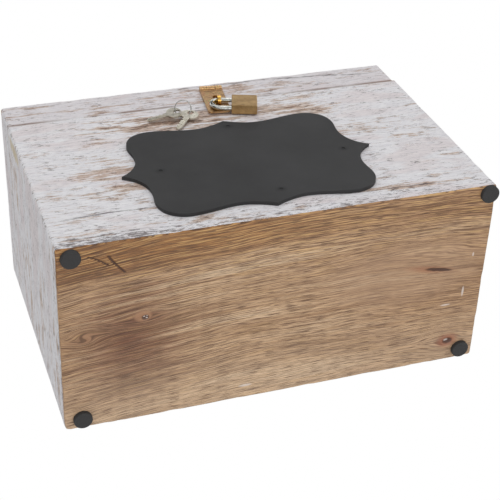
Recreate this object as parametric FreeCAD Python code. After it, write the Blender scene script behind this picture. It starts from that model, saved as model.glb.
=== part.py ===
import FreeCAD, Part
import os

V = FreeCAD.Vector

# A wooden wedding card box, standing on its four feet.
# Frame: X to the right seen from the front, Y to the back, Z up.
# Origin: under the middle of the box, at the level of the feet. All sizes in millimetres.

# Box carcass
BOX_WIDTH = 305.0
BOX_DEPTH = 146.0
WOOD_HEIGHT = 199.5
LID_HEIGHT = 30.2
LID_SHORTFALL = 2.0
BOARD = 10.0
SEAM_GAP = 0.4
BOX_CENTRE_Y = 4.2
CORNER_RADIUS = 2.0
BACK_LEFT_RADIUS = 5.0
EDGE_RADIUS = 1.2

# Card slot in the lid
SLOT_LENGTH = 200.0
SLOT_WIDTH = 13.0

# Feet: distance of each centre from its side and from the front or back face
FOOT_DIAMETER = 13.0
FOOT_THICKNESS = 3.0
FOOT_EDGE_RADIUS = 0.7
FOOT_INSETS = {
    "foot_front_left": (9.5, 7.4),
    "foot_front_right": (5.5, 6.0),
    "foot_back_left": (12.5, 8.6),
    "foot_back_right": (10.6, 8.6),
}

# Chalkboard plaque
PLAQUE_THICKNESS = 2.6
PLAQUE_CENTRE_X = -1.8
PLAQUE_CENTRE_Z = 76.0
PLAQUE_HALF_WIDTH = 90.2
PLAQUE_HALF_HEIGHT = 59.8
PLAQUE_OGEE = [
    (8.0, 56.0),
    (20.0, 52.8),
    (36.0, 54.0),
    (51.5, 56.9),
    (64.2, 56.3),
    (73.5, 49.6),
    (77.0, 38.0),
    (75.7, 26.5),
    (77.4, 14.2),
    (82.6, 5.7),
]
NAIL_PLACES = [(-63.0, 1.0), (69.5, -2.0), (1.0, 51.0), (8.0, -43.5)]
NAIL_RADIUS = 0.7
NAIL_LENGTH = 11.0
NAIL_HEAD_RADIUS = 1.4
NAIL_HEAD_THICKNESS = 0.5
NAIL_SUNK = 0.3

# Back hinges
HINGE_OFFSET = 95.0
HINGE_WIDTH = 30.0
HINGE_LEAF_HEIGHT = 15.0
HINGE_LEAF = 1.0
HINGE_KNUCKLE_RADIUS = 2.0
HINGE_PIN_RADIUS = 1.0
HINGE_AXIS_OFFSET = 2.3
RUNNING_FIT = 0.05
KNUCKLE_GAP = 0.3
HINGE_SCREW_X = 9.5
HINGE_SCREW_HEIGHT = 9.86

# Countersunk screws
SCREW_RADIUS = 1.1
SCREW_HEAD_RADIUS = 2.1
SCREW_HEAD_HEIGHT = 0.9
SCREW_LENGTH = 8.0
SCREW_SLOT_WIDTH = 0.5
SCREW_SLOT_DEPTH = 0.4

# Hasp: the strap hangs from a knuckle pin and leans a little to the right
HASP_FOOT_X = 0.9
HASP_FOOT_Z = 151.0
HASP_LEAN = 7.0
HASP_WIDTH = 17.0
HASP_LENGTH = 40.0
HASP_LEAF_HEIGHT = 17.6
HASP_LEAF = 1.0
HASP_STRAP = 1.2
HASP_STRAP_STANDOFF = 1.3
HASP_KNUCKLE_RADIUS = 1.9
HASP_AXIS_STANDOFF = 2.2
HASP_PIN_RADIUS = 0.8
HASP_CORNER_RADIUS = 2.2
HASP_KNUCKLE_SPLIT = 3.2
HASP_SLOT_X = 1.2
HASP_SLOT_WIDTH = 4.7
HASP_SLOT_BOTTOM = 9.7
HASP_SLOT_TOP = 27.0
HASP_SCREW_X = 4.6
HASP_SCREW_DROP = 11.0
KNUCKLE_LAP = 1.0

# Staple: an arched strip on a small base plate, standing through the strap's slot
STAPLE_X = 1.8
STAPLE_Z = 15.4
STAPLE_WIDTH = 2.4
STAPLE_STRIP = 1.3
STAPLE_HALF_SPAN = 3.9
STAPLE_HEIGHT = 8.0
STAPLE_PLATE_WIDTH = 15.0
STAPLE_PLATE_HEIGHT = 9.0
STAPLE_PLATE = 0.8
STAPLE_SCREW_X = 4.9

# Padlock: the case lies to the right of the staple, turned clockwise
LOCK_CENTRE_X = 20.6
LOCK_CENTRE_Z = 153.6
LOCK_STANDOFF = 4.5
LOCK_TURN = 18.4
CASE_LENGTH = 19.0
CASE_WIDTH = 18.4
CASE_THICKNESS = 7.3
CASE_EDGE = 0.5
SHACKLE_RADIUS = 1.65
SHACKLE_SPREAD = 6.6
SHACKLE_STRAIGHT = 8.2
TOE_DEPTH = 4.6
HEEL_DEPTH = 9.6
HEEL_BORE_DEPTH = 13.8
TOE_BORE_DEPTH = 5.0
PLUG_RADIUS = 2.5
PLUG_LENGTH = 11.0
KEYWAY_WIDTH = 1.0
KEYWAY_HEIGHT = 3.9
KEYWAY_DEPTH = 9.0
LATCH_HEIGHT = 1.8
LATCH_LENGTH = 2.4
LATCH_THICKNESS = 2.6
LATCH_FROM_TOE = 3.1
LATCH_DRAWN_BACK = 0.2
LATCH_TRAVEL_ROOM = 0.8
NOTCH_FROM_TOE = 3.2
NOTCH_LENGTH = 2.0
NOTCH_WIDTH = 4.0
NOTCH_DEPTH = 0.6
SPRING_RADIUS = 1.1
SPRING_WIRE_RADIUS = 0.22
SPRING_LENGTH = 3.6
SPRING_TURNS = 4

# Keys and their ring, lying against the front
KEY_THICKNESS = 1.2
KEY_BOW_WIDTH = 14.0
KEY_BOW_LENGTH = 11.0
KEY_HOLE_RADIUS = 2.4
KEY_HOLE_TO_TIP = 23.2
KEY_HOLE_INSET = 3.3
KEY_BLADE_WIDTH = 4.4
KEY_CUTS = [(3.2, 1.1), (6.2, 1.7), (9.2, 0.8), (12.2, 1.4)]
KEY_CUT_WIDTH = 2.0
KEY_GROOVE_WIDTH = 1.0
KEY_GROOVE_DEPTH = 0.35
KEY_GROOVE_OFFSET = 0.2
KEY_GROOVE_INSET = 1.0
KEY_TIP_LENGTH = 1.76
KEY_1_HOLE = (-31.5, 153.8)
KEY_1_STANDOFF = 4.8
KEY_1_TURN = 184.0
KEY_1_DROP = 8.0
KEY_2_HOLE = (-21.4, 152.2)
KEY_2_STANDOFF = 3.3
KEY_2_TURN = 229.5
KEY_2_DROP = 5.0
RING_RADIUS = 6.1
RING_WIRE_RADIUS = 0.35
RING_COIL_OFFSET = 0.25
RING_CENTRE_X = -26.5
RING_CENTRE_Z = 154.8
RING_STANDOFF = 6.6
RING_TILT = 65.3
RING_YAW = 1.7

# Derived places
LEFT_X = -BOX_WIDTH / 2
RIGHT_X = BOX_WIDTH / 2
FRONT_Y = BOX_CENTRE_Y - BOX_DEPTH / 2
BACK_Y = BOX_CENTRE_Y + BOX_DEPTH / 2
BASE_Z = FOOT_THICKNESS
TOP_Z = BASE_Z + WOOD_HEIGHT
SEAM_Z = TOP_Z - LID_HEIGHT
BODY_TOP_Z = SEAM_Z - SEAM_GAP / 2
LID_BOTTOM_Z = SEAM_Z + SEAM_GAP / 2
HINGE_Y = BACK_Y + HINGE_AXIS_OFFSET
TOE_END_X = -CASE_LENGTH / 2 + TOE_DEPTH
TOE_INNER_Z = SHACKLE_SPREAD - SHACKLE_RADIUS

# How near two points must be to count as the same place
SAME_PLACE = 0.01


def cylinder(radius, length, start, direction):
    return Part.makeCylinder(radius, length, start, direction)


def block(x0, x1, y0, y1, z0, z1):
    return Part.makeBox(x1 - x0, y1 - y0, z1 - z0, V(x0, y0, z0))


def upright_edge(shape, x, y):
    """The shape's vertical edge that stands at x, y."""
    for edge in shape.Edges:
        ends = [vertex.Point for vertex in edge.Vertexes]
        if all(abs(p.x - x) < SAME_PLACE and abs(p.y - y) < SAME_PLACE for p in ends):
            return edge


def level_edges(shape, z):
    """The edges that lie wholly at height z."""
    return [
        edge
        for edge in shape.Edges
        if abs(edge.BoundBox.ZMin - z) < SAME_PLACE and abs(edge.BoundBox.ZMax - z) < SAME_PLACE
    ]


def carcass_block(right_x, z0, z1):
    """Outer block of the box or of the lid, with its upright corners rounded."""
    shape = block(LEFT_X, right_x, FRONT_Y, BACK_Y, z0, z1)
    corners = [
        (LEFT_X, FRONT_Y, CORNER_RADIUS),
        (right_x, FRONT_Y, CORNER_RADIUS),
        (right_x, BACK_Y, CORNER_RADIUS),
        (LEFT_X, BACK_Y, BACK_LEFT_RADIUS),
    ]
    for x, y, radius in corners:
        shape = shape.makeFillet(radius, [upright_edge(shape, x, y)])
    return shape


def mitre_prism(points, z0, z1):
    corners = [V(x, y, z0) for x, y in points]
    face = Part.Face(Part.makePolygon(corners + corners[:1]))
    return face.extrude(V(0, 0, z1 - z0))


def mitred_frame(ring, right_x, z0, z1):
    """Cut a rectangular ring into four boards that meet at 45 degree mitres."""
    outer = [(LEFT_X, FRONT_Y), (right_x, FRONT_Y), (right_x, BACK_Y), (LEFT_X, BACK_Y)]
    inner = [
        (LEFT_X + BOARD, FRONT_Y + BOARD),
        (right_x - BOARD, FRONT_Y + BOARD),
        (right_x - BOARD, BACK_Y - BOARD),
        (LEFT_X + BOARD, BACK_Y - BOARD),
    ]
    boards = {}
    for i, side in enumerate(["front", "right", "back", "left"]):
        j = (i + 1) % 4
        wedge = mitre_prism([outer[i], outer[j], inner[j], inner[i]], z0, z1)
        boards[side] = ring.common(wedge).removeSplitter()
    return boards


def make_body():
    """Bottom board and the four walls that stand on it."""
    whole = carcass_block(RIGHT_X, BASE_Z, BODY_TOP_Z)
    whole = whole.makeFillet(EDGE_RADIUS, level_edges(whole, BASE_Z))
    floor_z = BASE_Z + BOARD
    slab = block(LEFT_X, RIGHT_X, FRONT_Y, BACK_Y, BASE_Z, floor_z)
    ring = whole.cut(slab).cut(
        block(LEFT_X + BOARD, RIGHT_X - BOARD, FRONT_Y + BOARD, BACK_Y - BOARD, floor_z, BODY_TOP_Z)
    )
    boards = mitred_frame(ring, RIGHT_X, floor_z, BODY_TOP_Z)
    return whole.common(slab), boards


def make_lid():
    """Top panel with the card slot, and the four rails under it."""
    right_x = RIGHT_X - LID_SHORTFALL
    whole = carcass_block(right_x, LID_BOTTOM_Z, TOP_Z)
    whole = whole.makeFillet(EDGE_RADIUS, level_edges(whole, TOP_Z))
    panel_z = TOP_Z - BOARD
    slab = block(LEFT_X, right_x, FRONT_Y, BACK_Y, panel_z, TOP_Z)
    ring = whole.cut(slab).cut(
        block(LEFT_X + BOARD, right_x - BOARD, FRONT_Y + BOARD, BACK_Y - BOARD, LID_BOTTOM_Z, panel_z)
    )
    rails = mitred_frame(ring, right_x, LID_BOTTOM_Z, panel_z)
    return whole.common(slab).cut(card_slot(panel_z)), rails


def card_slot(z0):
    """Cutter for the slot: a long hole with round ends through the top panel."""
    radius = SLOT_WIDTH / 2
    half = SLOT_LENGTH / 2 - radius
    cutter = block(-half, half, BOX_CENTRE_Y - radius, BOX_CENTRE_Y + radius, z0, TOP_Z)
    for x in (-half, half):
        cutter = cutter.fuse(cylinder(radius, BOARD, V(x, BOX_CENTRE_Y, z0), V(0, 0, 1)))
    return cutter.removeSplitter()


def make_foot(name):
    side, end = FOOT_INSETS[name]
    x = LEFT_X + side if name.endswith("left") else RIGHT_X - side
    y = FRONT_Y + end if "front" in name else BACK_Y - end
    foot = cylinder(FOOT_DIAMETER / 2, FOOT_THICKNESS, V(x, y, 0), V(0, 0, 1))
    return foot.makeFillet(FOOT_EDGE_RADIUS, level_edges(foot, 0.0))


def plaque_outline():
    """Bracketed outline: four pointed tips joined by smooth double curves round the corners."""
    quarter = [(0.0, PLAQUE_HALF_HEIGHT)] + PLAQUE_OGEE + [(PLAQUE_HALF_WIDTH, 0.0)]
    y = FRONT_Y - PLAQUE_THICKNESS
    edges = []
    for sx, sz in ((1, 1), (1, -1), (-1, -1), (-1, 1)):
        run = quarter if sx * sz > 0 else quarter[::-1]
        points = [V(PLAQUE_CENTRE_X + sx * px, y, PLAQUE_CENTRE_Z + sz * pz) for px, pz in run]
        curve = Part.BSplineCurve()
        curve.interpolate(points)
        edges.append(curve.toShape())
    return Part.Wire(edges)


def nail_points():
    return [
        V(PLAQUE_CENTRE_X + x, FRONT_Y - PLAQUE_THICKNESS, PLAQUE_CENTRE_Z + z) for x, z in NAIL_PLACES
    ]


def make_nail(point):
    """One headed nail, driven a little below the plaque's face."""
    sunk = point + V(0, NAIL_SUNK, 0)
    head = cylinder(NAIL_HEAD_RADIUS, NAIL_HEAD_THICKNESS, sunk, V(0, 1, 0))
    return head.fuse(cylinder(NAIL_RADIUS, NAIL_LENGTH, sunk, V(0, 1, 0)))


def nail_cutter():
    """Nails and the dimples above their heads, to clear the wood."""
    shapes = []
    for point in nail_points():
        dimple = cylinder(NAIL_HEAD_RADIUS, NAIL_SUNK, point, V(0, 1, 0))
        shapes.append(make_nail(point).fuse(dimple))
    return Part.makeCompound(shapes)


def make_plaque():
    return Part.Face(plaque_outline()).extrude(V(0, PLAQUE_THICKNESS, 0))


def make_screw(point, inward):
    """Countersunk screw whose flat head is level with point."""
    head = Part.makeCone(SCREW_HEAD_RADIUS, SCREW_RADIUS, SCREW_HEAD_HEIGHT, point, inward)
    shank = cylinder(SCREW_RADIUS, SCREW_LENGTH, point, inward)
    return head.fuse(shank)


def screw_slot(point, across, inward):
    """Driver slot in a screw head."""
    long_side = across * (2 * SCREW_HEAD_RADIUS)
    short_side = inward.cross(across) * SCREW_SLOT_WIDTH
    corner = point - long_side * 0.5 - short_side * 0.5
    base = [corner, corner + long_side, corner + long_side + short_side, corner + short_side]
    return Part.Face(Part.makePolygon(base + base[:1])).extrude(inward * SCREW_SLOT_DEPTH)


# ---- back hinges ----


def knuckle_spans():
    """Three knuckles along X: the outer two on the box leaf, the middle one on the lid leaf."""
    half = HINGE_WIDTH / 2
    third = HINGE_WIDTH / 6
    return [(-half, -third), (-third + KNUCKLE_GAP, third - KNUCKLE_GAP), (third, half)]


def hinge_leaf(centre_x, sign, spans, bore):
    """Leaf plate with its own knuckles; sign is +1 for the leaf above the seam, -1 below."""
    far = SEAM_Z + sign * HINGE_LEAF_HEIGHT
    near = SEAM_Z + sign * (HINGE_KNUCKLE_RADIUS + KNUCKLE_GAP)
    y0 = BACK_Y
    y1 = BACK_Y + HINGE_LEAF
    x0 = centre_x - HINGE_WIDTH / 2
    x1 = centre_x + HINGE_WIDTH / 2
    leaf = block(x0, x1, y0, y1, min(near, far), max(near, far))
    tab_end = SEAM_Z + sign * SEAM_GAP
    for a, b in spans:
        tab = block(centre_x + a, centre_x + b, y0, y1, min(near, tab_end), max(near, tab_end))
        knuckle = cylinder(HINGE_KNUCKLE_RADIUS, b - a, V(centre_x + a, HINGE_Y, SEAM_Z), V(1, 0, 0))
        leaf = leaf.fuse(tab).fuse(knuckle)
    hole = cylinder(bore, HINGE_WIDTH, V(x0, HINGE_Y, SEAM_Z), V(1, 0, 0))
    return leaf.cut(hole).removeSplitter()


def hinge_screw_points(centre_x, sign):
    z = SEAM_Z + sign * HINGE_SCREW_HEIGHT
    return [V(centre_x + dx, BACK_Y + HINGE_LEAF, z) for dx in (-HINGE_SCREW_X, HINGE_SCREW_X)]


def make_back_hinge(centre_x):
    """Both leaves, the pin and the four screws of one butt hinge."""
    spans = knuckle_spans()
    outer = [spans[0], spans[2]]
    middle = [spans[1]]
    inward = V(0, -1, 0)
    parts = {}
    screws = {}
    for leaf, sign, own, bore in (
        ("box", -1, outer, HINGE_PIN_RADIUS),
        ("lid", 1, middle, HINGE_PIN_RADIUS + RUNNING_FIT),
    ):
        shape = hinge_leaf(centre_x, sign, own, bore)
        plain = [make_screw(p, inward) for p in hinge_screw_points(centre_x, sign)]
        slotted = [
            s.cut(screw_slot(p, V(1, 0, 0), inward))
            for s, p in zip(plain, hinge_screw_points(centre_x, sign))
        ]
        parts[leaf] = shape.cut(Part.makeCompound(plain))
        screws[leaf] = (slotted, plain)
    half = HINGE_WIDTH / 2
    pin = cylinder(HINGE_PIN_RADIUS, HINGE_WIDTH, V(centre_x - half, HINGE_Y, SEAM_Z), V(1, 0, 0))
    return parts, screws, pin


# ---- hasp: made upright at its own origin, then leaned and moved to the front ----


def hasp_place(shape):
    """Hasp frame: x across, z up from the strap's lower end, y = 0 on the front face, -y outwards."""
    placed = shape.copy()
    placed.rotate(V(0, 0, 0), V(0, 1, 0), HASP_LEAN)
    placed.translate(V(HASP_FOOT_X, FRONT_Y, HASP_FOOT_Z))
    return placed


def hasp_knuckle(x0, x1):
    centre = V(x0, -HASP_AXIS_STANDOFF, HASP_LENGTH)
    return cylinder(HASP_KNUCKLE_RADIUS, x1 - x0, centre, V(1, 0, 0))


def hasp_bore(radius):
    start = V(-HASP_WIDTH / 2, -HASP_AXIS_STANDOFF, HASP_LENGTH)
    return cylinder(radius, HASP_WIDTH, start, V(1, 0, 0))


def hasp_leaf_screw_points():
    z = HASP_LENGTH - HASP_SCREW_DROP
    return [V(x, -HASP_LEAF, z) for x in (-HASP_SCREW_X, HASP_SCREW_X)]


def make_hasp_leaf():
    """Leaf screwed to the lid under the strap, with the two outer knuckles."""
    half = HASP_WIDTH / 2
    split = HASP_KNUCKLE_SPLIT + KNUCKLE_GAP
    clear = HASP_LENGTH - HASP_KNUCKLE_RADIUS - KNUCKLE_GAP
    leaf = block(-half, half, -HASP_LEAF, 0, HASP_LENGTH - HASP_LEAF_HEIGHT, clear)
    for x0, x1 in ((-half, -split), (split, half)):
        leaf = leaf.fuse(block(x0, x1, -HASP_LEAF, 0, clear, HASP_LENGTH))
        leaf = leaf.fuse(hasp_knuckle(x0, x1))
    return leaf.cut(hasp_bore(HASP_PIN_RADIUS)).removeSplitter()


def rounded_slot(x, width, z0, z1, y0, y1):
    """Upright slot with round ends, cut through along Y."""
    radius = width / 2
    cutter = block(x - radius, x + radius, y0, y1, z0 + radius, z1 - radius)
    for z in (z0 + radius, z1 - radius):
        cutter = cutter.fuse(cylinder(radius, y1 - y0, V(x, y0, z), V(0, 1, 0)))
    return cutter.removeSplitter()


def make_hasp_strap():
    """Slotted strap with the middle knuckle; its lower corners are rounded."""
    half = HASP_WIDTH / 2
    split = HASP_KNUCKLE_SPLIT
    y0 = -HASP_STRAP_STANDOFF - HASP_STRAP
    y1 = -HASP_STRAP_STANDOFF
    clear = HASP_LENGTH - HASP_KNUCKLE_RADIUS - KNUCKLE_GAP
    strap = block(-half, half, y0, y1, 0, clear)
    lower = [
        edge
        for edge in strap.Edges
        if abs(edge.BoundBox.ZMax) < SAME_PLACE and abs(edge.BoundBox.YLength - HASP_STRAP) < SAME_PLACE
    ]
    strap = strap.makeFillet(HASP_CORNER_RADIUS, lower)
    strap = strap.fuse(block(-split, split, y0, y1, clear - KNUCKLE_LAP, HASP_LENGTH))
    strap = strap.fuse(hasp_knuckle(-split, split))
    strap = strap.cut(hasp_bore(HASP_PIN_RADIUS + RUNNING_FIT))
    slot = rounded_slot(HASP_SLOT_X, HASP_SLOT_WIDTH, HASP_SLOT_BOTTOM, HASP_SLOT_TOP, y0, y1)
    return strap.cut(slot).removeSplitter()


def arch_solid(half_span, height, width):
    """Arch standing out along -Y from y = 0, with a round top; its hole axis is along X."""
    straight = height - half_span
    x0 = STAPLE_X - width / 2
    legs = block(x0, x0 + width, -straight, 0, STAPLE_Z - half_span, STAPLE_Z + half_span)
    top = cylinder(half_span, width, V(x0, -straight, STAPLE_Z), V(1, 0, 0))
    behind = block(x0, x0 + width, 0, half_span, STAPLE_Z - half_span, STAPLE_Z + half_span)
    return legs.fuse(top).cut(behind)


def staple_screw_points():
    return [V(STAPLE_X + dx, -STAPLE_PLATE, STAPLE_Z) for dx in (-STAPLE_SCREW_X, STAPLE_SCREW_X)]


def make_staple():
    """Base plate and the arched strip that stands on it."""
    inner_span = STAPLE_HALF_SPAN - STAPLE_STRIP
    arch = arch_solid(STAPLE_HALF_SPAN, STAPLE_HEIGHT, STAPLE_WIDTH)
    arch = arch.cut(arch_solid(inner_span, STAPLE_HEIGHT - STAPLE_STRIP, STAPLE_WIDTH))
    half = STAPLE_PLATE_WIDTH / 2
    tall = STAPLE_PLATE_HEIGHT / 2
    plate = block(STAPLE_X - half, STAPLE_X + half, -STAPLE_PLATE, 0, STAPLE_Z - tall, STAPLE_Z + tall)
    return plate.fuse(arch).removeSplitter()


# ---- padlock: made with its shackle pointing to -X, then turned and moved ----


def lock_place(shape):
    """Padlock frame: origin in the middle of the case, x along the legs, z across them."""
    placed = shape.copy()
    placed.rotate(V(0, 0, 0), V(0, 1, 0), LOCK_TURN)
    placed.translate(V(LOCK_CENTRE_X, FRONT_Y - LOCK_STANDOFF, LOCK_CENTRE_Z))
    return placed


def shackle_wire(toe_depth, heel_depth):
    """Centre line of the shackle: toe above, heel below."""
    case_end = -CASE_LENGTH / 2
    bend_x = case_end - SHACKLE_STRAIGHT
    toe = V(case_end + toe_depth, 0, SHACKLE_SPREAD)
    toe_bend = V(bend_x, 0, SHACKLE_SPREAD)
    crown = V(bend_x - SHACKLE_SPREAD, 0, 0)
    heel_bend = V(bend_x, 0, -SHACKLE_SPREAD)
    heel = V(case_end + heel_depth, 0, -SHACKLE_SPREAD)
    edges = [
        Part.LineSegment(toe, toe_bend).toShape(),
        Part.Arc(toe_bend, crown, heel_bend).toShape(),
        Part.LineSegment(heel_bend, heel).toShape(),
    ]
    return Part.Wire(edges)


def make_shackle():
    """Bent round bar with a shallow latch notch inside the toe."""
    path = shackle_wire(TOE_DEPTH, HEEL_DEPTH)
    start = V(TOE_END_X, 0, SHACKLE_SPREAD)
    section = Part.Wire([Part.makeCircle(SHACKLE_RADIUS, start, V(-1, 0, 0))])
    bar = path.makePipeShell([section], True, True)
    notch_x = TOE_END_X - NOTCH_FROM_TOE
    half_w = NOTCH_WIDTH / 2
    z0 = TOE_INNER_Z - NOTCH_DEPTH
    z1 = TOE_INNER_Z + NOTCH_DEPTH
    return bar.cut(block(notch_x, notch_x + NOTCH_LENGTH, -half_w, half_w, z0, z1))


def make_case():
    """Brass case with bores for the shackle's legs, the key plug and the latch pocket."""
    half_l = CASE_LENGTH / 2
    half_w = CASE_WIDTH / 2
    half_t = CASE_THICKNESS / 2
    case = block(-half_l, half_l, -half_t, half_t, -half_w, half_w)
    case = case.makeChamfer(CASE_EDGE, case.Edges)
    bore = SHACKLE_RADIUS + RUNNING_FIT
    case = case.cut(cylinder(bore, TOE_BORE_DEPTH, V(-half_l, 0, SHACKLE_SPREAD), V(1, 0, 0)))
    case = case.cut(cylinder(bore, HEEL_BORE_DEPTH, V(-half_l, 0, -SHACKLE_SPREAD), V(1, 0, 0)))
    plug = cylinder(PLUG_RADIUS + RUNNING_FIT, PLUG_LENGTH, V(half_l - PLUG_LENGTH, 0, 0), V(1, 0, 0))
    return case.cut(plug).cut(latch_pocket())


def latch_pocket():
    """Pocket between the toe bore and the middle of the case."""
    x = TOE_END_X - LATCH_FROM_TOE
    top_z = TOE_INNER_Z + NOTCH_DEPTH
    half_t = LATCH_THICKNESS / 2
    return block(x, x + LATCH_HEIGHT, -half_t, half_t, top_z - LATCH_LENGTH - LATCH_TRAVEL_ROOM, top_z)


def make_latch():
    """Latch bolt, drawn back just clear of the toe."""
    x = TOE_END_X - LATCH_FROM_TOE
    top_z = TOE_INNER_Z - LATCH_DRAWN_BACK
    half_t = LATCH_THICKNESS / 2
    return block(x, x + LATCH_HEIGHT, -half_t, half_t, top_z - LATCH_LENGTH, top_z)


def make_plug():
    """Key plug with its keyway; its outer face is level with the end of the case."""
    half_l = CASE_LENGTH / 2
    plug = cylinder(PLUG_RADIUS, PLUG_LENGTH, V(half_l - PLUG_LENGTH, 0, 0), V(1, 0, 0))
    half_w = KEYWAY_WIDTH / 2
    half_h = KEYWAY_HEIGHT / 2
    keyway = block(half_l - KEYWAY_DEPTH, half_l, -half_w, half_w, -half_h, half_h)
    return plug.cut(keyway)


def make_shackle_spring():
    """Short coil spring at the bottom of the heel bore, squeezed by the closed shackle."""
    helix = Part.makeHelix(SPRING_LENGTH / SPRING_TURNS, SPRING_LENGTH, SPRING_RADIUS)
    section = Part.Wire([Part.makeCircle(SPRING_WIRE_RADIUS, V(SPRING_RADIUS, 0, 0), V(0, 1, 0))])
    spring = Part.Wire(helix.Edges).makePipeShell([section], True, True)
    spring.rotate(V(0, 0, 0), V(0, 1, 0), 90)
    start_x = -CASE_LENGTH / 2 + HEEL_DEPTH + SPRING_WIRE_RADIUS + RUNNING_FIT
    spring.translate(V(start_x, 0, -SHACKLE_SPREAD))
    return spring


# ---- keys ----


def make_flat_key():
    """Key in the XZ plane, half its thickness each side, its hole at the origin, its tip at +X."""
    bow_x = KEY_BOW_LENGTH / 2 - KEY_HOLE_INSET
    bow = cylinder(KEY_BOW_LENGTH / 2, KEY_THICKNESS, V(0, 0, 0), V(0, 1, 0))
    stretch = FreeCAD.Matrix()
    stretch.A33 = KEY_BOW_WIDTH / KEY_BOW_LENGTH
    bow = bow.transformGeometry(stretch)
    bow.translate(V(bow_x, 0, 0))
    half = KEY_BLADE_WIDTH / 2
    outline = [
        V(bow_x, 0, -half),
        V(KEY_HOLE_TO_TIP - KEY_TIP_LENGTH, 0, -half),
        V(KEY_HOLE_TO_TIP, 0, 0),
        V(KEY_HOLE_TO_TIP - KEY_TIP_LENGTH, 0, half),
        V(bow_x, 0, half),
    ]
    blade = Part.Face(Part.makePolygon(outline + outline[:1])).extrude(V(0, KEY_THICKNESS, 0))
    key = bow.fuse(blade)
    for back, depth in KEY_CUTS:
        x = KEY_HOLE_TO_TIP - back
        cut = [
            V(x - KEY_CUT_WIDTH / 2, 0, -half),
            V(x, 0, -half + depth),
            V(x + KEY_CUT_WIDTH / 2, 0, -half),
        ]
        key = key.cut(Part.Face(Part.makePolygon(cut + cut[:1])).extrude(V(0, KEY_THICKNESS, 0)))
    groove_start = KEY_BOW_LENGTH - KEY_HOLE_INSET + KEY_GROOVE_INSET
    groove_top = KEY_GROOVE_OFFSET + KEY_GROOVE_WIDTH
    groove = block(groove_start, KEY_HOLE_TO_TIP, 0, KEY_GROOVE_DEPTH, KEY_GROOVE_OFFSET, groove_top)
    hole = cylinder(KEY_HOLE_RADIUS, KEY_THICKNESS, V(0, 0, 0), V(0, 1, 0))
    key = key.cut(groove).cut(hole).removeSplitter()
    key.translate(V(0, -KEY_THICKNESS / 2, 0))
    return key


def make_key(hole, standoff, turn, drop):
    """Key with its hole at hole = (x, z); turn is anticlockwise from +X seen from the front.

    standoff is how far the middle of the hole stands out from the front face, and drop tips
    the blade towards that face, in degrees.
    """
    key = make_flat_key()
    key.rotate(V(0, 0, 0), V(0, 0, 1), drop)
    key.rotate(V(0, 0, 0), V(0, 1, 0), -turn)
    key.translate(V(hole[0], FRONT_Y - standoff, hole[1]))
    return key


def make_key_ring():
    """Split ring of two close turns of wire, leaning out from the front."""
    turns = [
        Part.makeTorus(RING_RADIUS, RING_WIRE_RADIUS, V(0, 0, offset), V(0, 0, 1))
        for offset in (-RING_COIL_OFFSET, RING_COIL_OFFSET)
    ]
    ring = turns[0].fuse(turns[1])
    ring.rotate(V(0, 0, 0), V(1, 0, 0), 90 + RING_TILT)
    ring.rotate(V(0, 0, 0), V(0, 1, 0), RING_YAW)
    ring.translate(V(RING_CENTRE_X, FRONT_Y - RING_STANDOFF, RING_CENTRE_Z))
    return ring


# ---- assembly ----


def build_nodes():
    nodes = {}
    inward = V(0, 1, 0)

    bottom, walls = make_body()
    top, rails = make_lid()
    nodes["bottom_board"] = bottom
    nodes["lid_top_panel"] = top

    nails = nail_cutter()
    nodes["chalkboard_plaque"] = make_plaque().cut(nails)
    nodes["plaque_nails"] = Part.makeCompound([make_nail(p) for p in nail_points()])
    walls["front"] = walls["front"].cut(nails)

    for name in FOOT_INSETS:
        nodes[name] = make_foot(name)

    staple_screws = [make_screw(p, inward) for p in staple_screw_points()]
    staple = make_staple().cut(Part.makeCompound(staple_screws))
    nodes["hasp_staple"] = hasp_place(staple)
    nodes["hasp_staple_screws"] = hasp_place(Part.makeCompound(staple_screws))
    walls["front"] = walls["front"].cut(nodes["hasp_staple_screws"])

    leaf_screws = [make_screw(p, inward) for p in hasp_leaf_screw_points()]
    nodes["hasp_leaf"] = hasp_place(make_hasp_leaf().cut(Part.makeCompound(leaf_screws)))
    nodes["hasp_leaf_screws"] = hasp_place(Part.makeCompound(leaf_screws))
    nodes["hasp_pin"] = hasp_place(hasp_bore(HASP_PIN_RADIUS))
    nodes["hasp_strap"] = hasp_place(make_hasp_strap())
    rails["front"] = rails["front"].cut(nodes["hasp_leaf_screws"])

    for side, x in (("left", -HINGE_OFFSET), ("right", HINGE_OFFSET)):
        leaves, screws, pin = make_back_hinge(x)
        nodes[side + "_hinge_box_leaf"] = leaves["box"]
        nodes[side + "_hinge_lid_leaf"] = leaves["lid"]
        nodes[side + "_hinge_pin"] = pin
        nodes[side + "_hinge_box_screws"] = Part.makeCompound(screws["box"][0])
        nodes[side + "_hinge_lid_screws"] = Part.makeCompound(screws["lid"][0])
        walls["back"] = walls["back"].cut(Part.makeCompound(screws["box"][1]))
        rails["back"] = rails["back"].cut(Part.makeCompound(screws["lid"][1]))

    for side in ("front", "back", "left", "right"):
        nodes[side + "_board"] = walls[side]
        nodes["lid_" + side + "_rail"] = rails[side]

    nodes["padlock_case"] = lock_place(make_case())
    nodes["padlock_shackle"] = lock_place(make_shackle())
    nodes["padlock_plug"] = lock_place(make_plug())
    nodes["padlock_latch"] = lock_place(make_latch())
    nodes["padlock_spring"] = lock_place(make_shackle_spring())

    nodes["key_1"] = make_key(KEY_1_HOLE, KEY_1_STANDOFF, KEY_1_TURN, KEY_1_DROP)
    nodes["key_2"] = make_key(KEY_2_HOLE, KEY_2_STANDOFF, KEY_2_TURN, KEY_2_DROP)
    nodes["key_ring"] = make_key_ring()
    return nodes


os.makedirs("parts", exist_ok=True)
for node_name, node_shape in build_nodes().items():
    node_shape.exportStep("parts/" + node_name + ".step")
    print(node_name, node_shape.isValid(), len(node_shape.Solids), round(node_shape.Volume, 2))
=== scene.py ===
import math
from collections import namedtuple

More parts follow.
